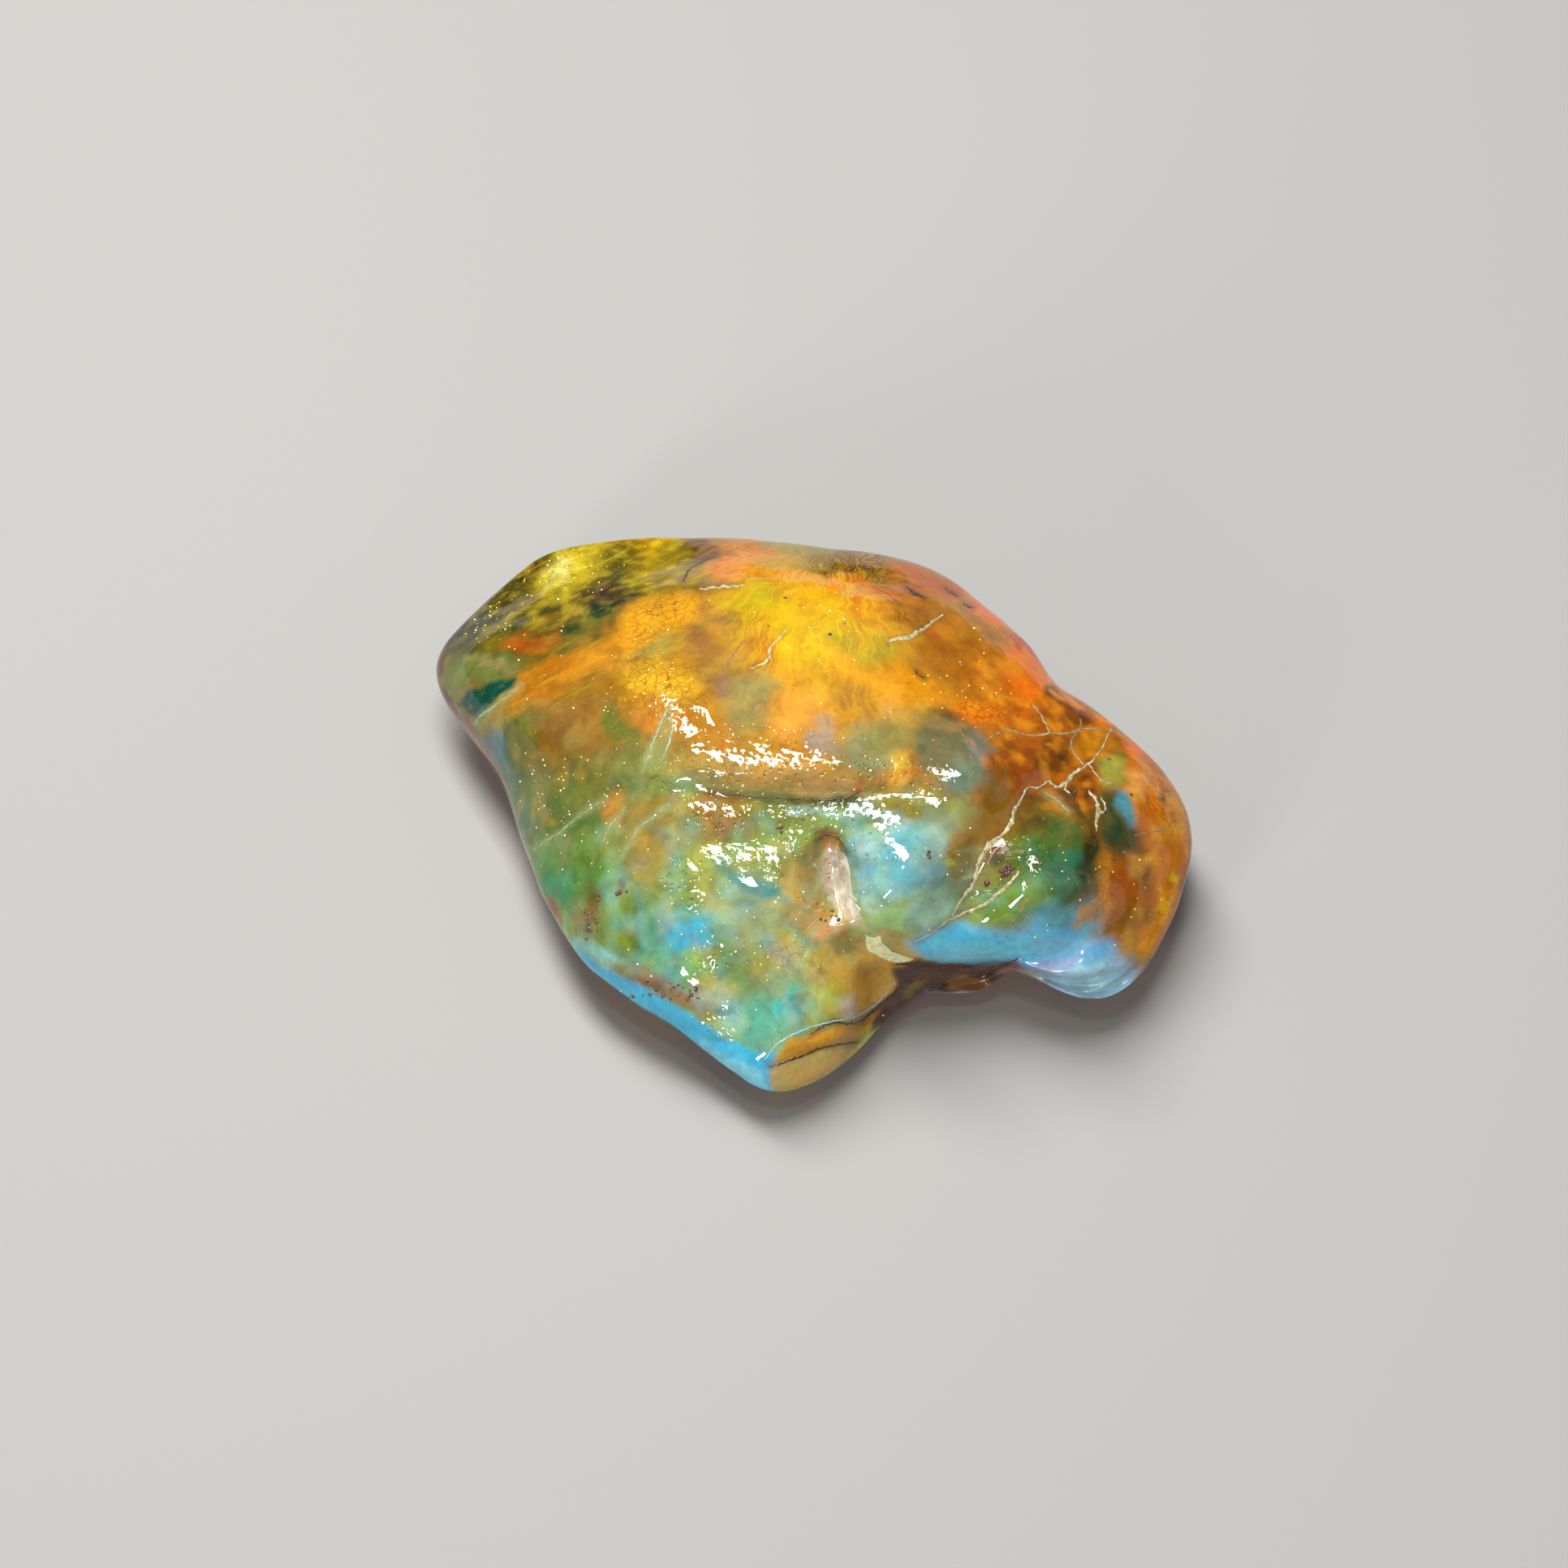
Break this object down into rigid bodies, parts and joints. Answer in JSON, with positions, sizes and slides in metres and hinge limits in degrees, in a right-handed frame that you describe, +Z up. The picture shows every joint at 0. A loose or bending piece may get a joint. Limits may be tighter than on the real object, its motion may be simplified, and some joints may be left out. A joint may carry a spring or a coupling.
{
  "type": "dominican blue amber nugget",
  "caption": "A polished, free-form nugget of Dominican blue amber, orange and gold above with blue and green glow below, pale cracks and a flat underside.",
  "frame": {"origin": "bottom centre of the bounding box, on the surface the nugget lies on", "axes": "+X towards the nugget's right-hand end as the picture shows it, +Y away from the viewer, +Z up"},
  "size_m": [0.0626, 0.0548, 0.021],
  "materials": {
    "amber": "gloss"
  },
  "bodies": {
    "root": {"amber_nugget": "amber"}
  },
  "joints": []
}
